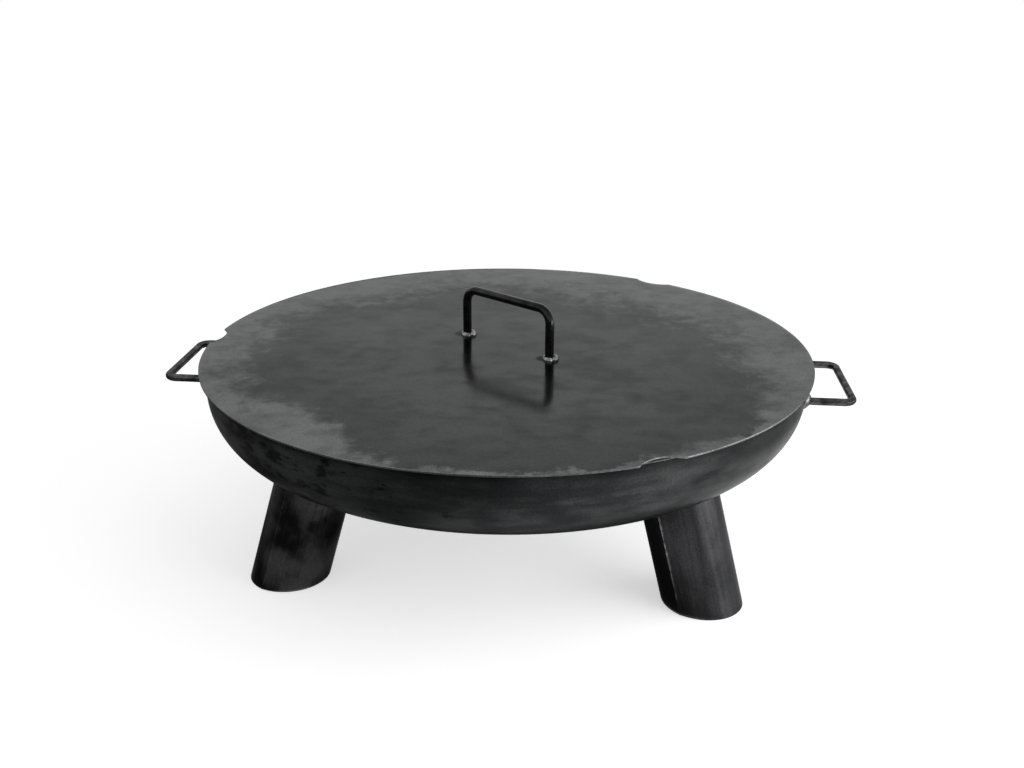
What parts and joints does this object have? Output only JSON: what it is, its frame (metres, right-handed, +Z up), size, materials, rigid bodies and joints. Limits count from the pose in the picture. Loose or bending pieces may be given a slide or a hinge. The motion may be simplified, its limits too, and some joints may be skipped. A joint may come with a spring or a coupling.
{
  "type": "fire pit with lid and grate",
  "caption": "Low round steel fire bowl on splayed tube legs, with side handles, a flat notched lid with a bar handle, and a loose fire grate inside.",
  "frame": {"origin": "on the floor, below the centre of the bowl", "axes": "+Z up, +X through the right bowl handle, so the two bowl handles lie along X and +Y points to the back leg"},
  "size_m": [0.92, 0.8159, 0.3535],
  "materials": {
    "dished_steel": "oiled raw steel, pressed dish",
    "sheet_steel": "oiled raw steel sheet, satin",
    "tube_steel": "raw welded tube",
    "bar_steel": "black hot-rolled bar",
    "weld_metal": "bright weld bead",
    "grate_steel": "black hot-rolled bar"
  },
  "bodies": {
    "bowl": {"fire_bowl": "dished_steel", "leg_back": "tube_steel", "leg_front_left": "tube_steel", "leg_front_right": "tube_steel", "leg_weld_back": "weld_metal", "leg_weld_front_left": "weld_metal", "leg_weld_front_right": "weld_metal", "bowl_handle_left": "bar_steel", "bowl_handle_right": "bar_steel", "bowl_handle_weld_left_front": "weld_metal", "bowl_handle_weld_left_back": "weld_metal", "bowl_handle_weld_right_front": "weld_metal", "bowl_handle_weld_right_back": "weld_metal"},
    "grate": {"grate_ring": "grate_steel", "grate_bar_01": "grate_steel", "grate_bar_02": "grate_steel", "grate_bar_03": "grate_steel", "grate_bar_04": "grate_steel", "grate_bar_05": "grate_steel", "grate_bar_06": "grate_steel", "grate_bar_07": "grate_steel", "grate_bar_08": "grate_steel", "grate_bar_09": "grate_steel", "grate_bar_10": "grate_steel", "grate_bar_11": "grate_steel", "grate_bar_12": "grate_steel", "grate_bar_13": "grate_steel", "grate_bar_14": "grate_steel", "grate_bar_15": "grate_steel", "grate_cross_bar_left": "grate_steel", "grate_cross_bar_right": "grate_steel", "grate_lift_loop_left": "grate_steel", "grate_lift_loop_right": "grate_steel"},
    "lid": {"lid_plate": "sheet_steel", "lid_handle": "bar_steel", "lid_handle_weld_left": "weld_metal", "lid_handle_weld_right": "weld_metal"}
  },
  "joints": [
    {"name": "grate_lift", "type": "slide", "parent": "bowl", "child": "grate", "axis": [0, 0, 1], "range_m": [0, 0.3]},
    {"name": "lid_lift", "type": "slide", "parent": "grate", "child": "lid", "axis": [0, 0, 1], "range_m": [0, 0.4]}
  ]
}
